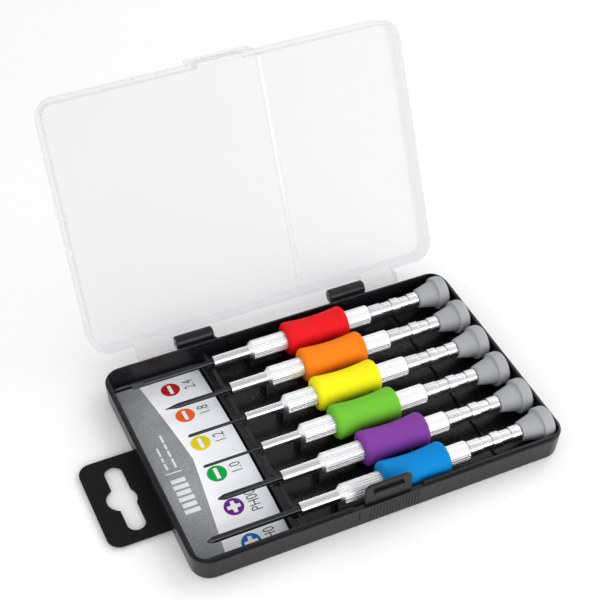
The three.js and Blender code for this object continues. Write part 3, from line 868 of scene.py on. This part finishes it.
def knurled_handle(place):
    radius, depth, start, end = KNURL["radius"], KNURL["depth"], KNURL["start"], KNURL["end"]
    profile = [
        (start, CORE, 0),
        (start, place.nose, 0),
        (KNURL["cone_end"], radius - depth - 0.02, 0),
        (KNURL["cone_end"] + 0.4, radius - 0.05, depth),
        (end - 0.6, radius, depth),
        (end - 0.2, radius - 0.28, depth * 0.6),
        (end, radius - 0.55, 0),
        (end, CORE, 0),
    ]
    made = turned(profile, FLUTE_STEPS * FLUTES)
    name = place.colour
    piece(place.laid(made), f"{name}_knurl", f"{name}_driver", KNURLED, sharp=25)


def ringed_rear(place):
    neck, edge, spindle, end = REAR["neck"], REAR["edge"], REAR["spindle"], REAR["end"]
    profile = [(REAR["start"], CORE), (REAR["start"], neck)]
    for low, high, radius in RINGS:
        left, right = low + edge, high - edge
        profile += [(left, neck), (left, radius), (right, radius), (right, neck)]
    profile += [(RINGS[-1][1], spindle), (end, spindle), (end, CORE)]
    made = turned(rounded(profile, 0.12, 2), 64)
    place.finish(made, "rear", "aluminium", TURNED)


def sleeve(place):
    """A tube with rounded ends and a waist."""
    (left, right), corner, ends = place.sleeve, SLEEVE["corner"], SLEEVE["ends"]
    steps, count = SLEEVE["corner_steps"], SLEEVE["waist_steps"]
    turns = [math.pi / 2 * i / steps for i in range(1, steps)]
    curve = [(corner * (1 - math.cos(a)), ends - corner + corner * math.sin(a)) for a in turns]
    profile = [(left, SLEEVE["bore"]), (left, ends - corner)]
    profile += [(left + x, radius) for x, radius in curve]
    for i in range(count + 1):
        t = i / count
        x = left + corner + t * (right - left - 2 * corner)
        profile.append((x, ends - (ends - SLEEVE["waist"]) * math.sin(math.pi * t)))
    profile += [(right - x, radius) for x, radius in reversed(curve)]
    profile += [(right, ends - corner), (right, SLEEVE["bore"])]
    made = turned(profile, 72, closed=True)
    place.finish(made, "grip", f"{place.colour}_rubber", RUBBERS[place.colour], "sleeve", shift=False)


def cap(place):
    """A cone that ends in a flange, with a blind bore for the spindle."""
    left, right = place.cap
    flange, bore, bore_end = right - CAP["flange"], CAP["bore"], right - CAP["bore_end"]
    profile = [
        # (x, radius), with how far from it the corner starts to round
        ((bore_end, CORE), 0),
        ((bore_end, bore), 0),
        ((left, bore), 0.1),
        ((left, 3.75), 0.35),
        ((flange - 0.3, 5.6), 0.15),
        ((flange - 0.15, 6.55), 0.2),
        ((flange + 0.3, 6.8), 0.3),
        ((right - 1.2, 6.78), 0.6),
        ((right, 6.1), 0.5),
        ((right, CORE), 0),
    ]
    made = turned(rounded([p for p, _ in profile], [reach for _, reach in profile]), 72)
    place.finish(made, "swivel_cap", "grey_plastic", GREY_PLASTIC, "cap", "swivel", shift=False)


BLACK_PLASTIC = moulded("black_polypropylene", 0x131415, 0.3, depth=0.000001, shine=0.34).material
MATT_PLASTIC = moulded("matt_black_plastic", 0x0C0C0D, 0.6, shine=0.16).material
CLEAR_PLASTIC = clear_plastic("clear_polystyrene", 0.0)
CLEAR_RIB = clear_plastic("clear_polystyrene_rib", 0.42)
PRINTED_CARD = printed_card()
GREY_PLASTIC = moulded("satin_grey_plastic", 0xA2A3A6, 0.5, spread=0.03, depth=0.000006, shine=0.3).material
BLACK_STEEL = metal("black_oxide_steel", 0x3E3F42, 0.34, (0.1, 1, 1), 0.05).material
POLISHED = metal("polished_tube", 0xF2F2F4, 0.16, (1, 0.02, 0.02)).material
TURNED = metal("turned_aluminium", 0xF0F0F2, 0.22, (1, 0.02, 0.02)).material
KNURLED = metal("knurled_aluminium", 0xF6F6F8, 0.4, (0.05, 1, 1)).material
RUBBER_TONES = (0xE0161F, 0xF47F16, 0xF6E81A, 0x70BE36, 0x7E3C98, 0x0080C8)
RUBBERS = {name: rubber(name, tone) for name, tone in zip(COLOURS, RUBBER_TONES)}
INK_TONES = (0xB5161C, 0xE9601A, 0xE2CF1C, 0x00A14B, 0x6C1C8C, 0x0B6CB8)
INKS = {name: ink(f"{name}_ink", tone) for name, tone in zip(COLOURS, INK_TONES)}
WHITE_INK = ink("white_ink", 0xF4F4F4)
PALE_INK = ink("pale_ink", 0xE2E3E5)
GREY_INK = ink("grey_ink", 0x38383B)

camera()
surroundings()
floor()
softbox("side", azimuth=98, elevation=44, distance=0.9, width=0.8, height=0.5, power=2.2)
softbox("front", azimuth=-8, elevation=26, distance=0.9, width=1.2, height=0.4, power=4.2)

tray()
lid()
hang_tab()
card()
label_print()
band_marks()
for index, colour in enumerate(COLOURS):
    place = Place(index, colour)
    blade(place)
    nose_tube(place)
    knurled_handle(place)
    ringed_rear(place)
    sleeve(place)
    cap(place)

bpy.context.scene.view_settings.view_transform = "Standard"
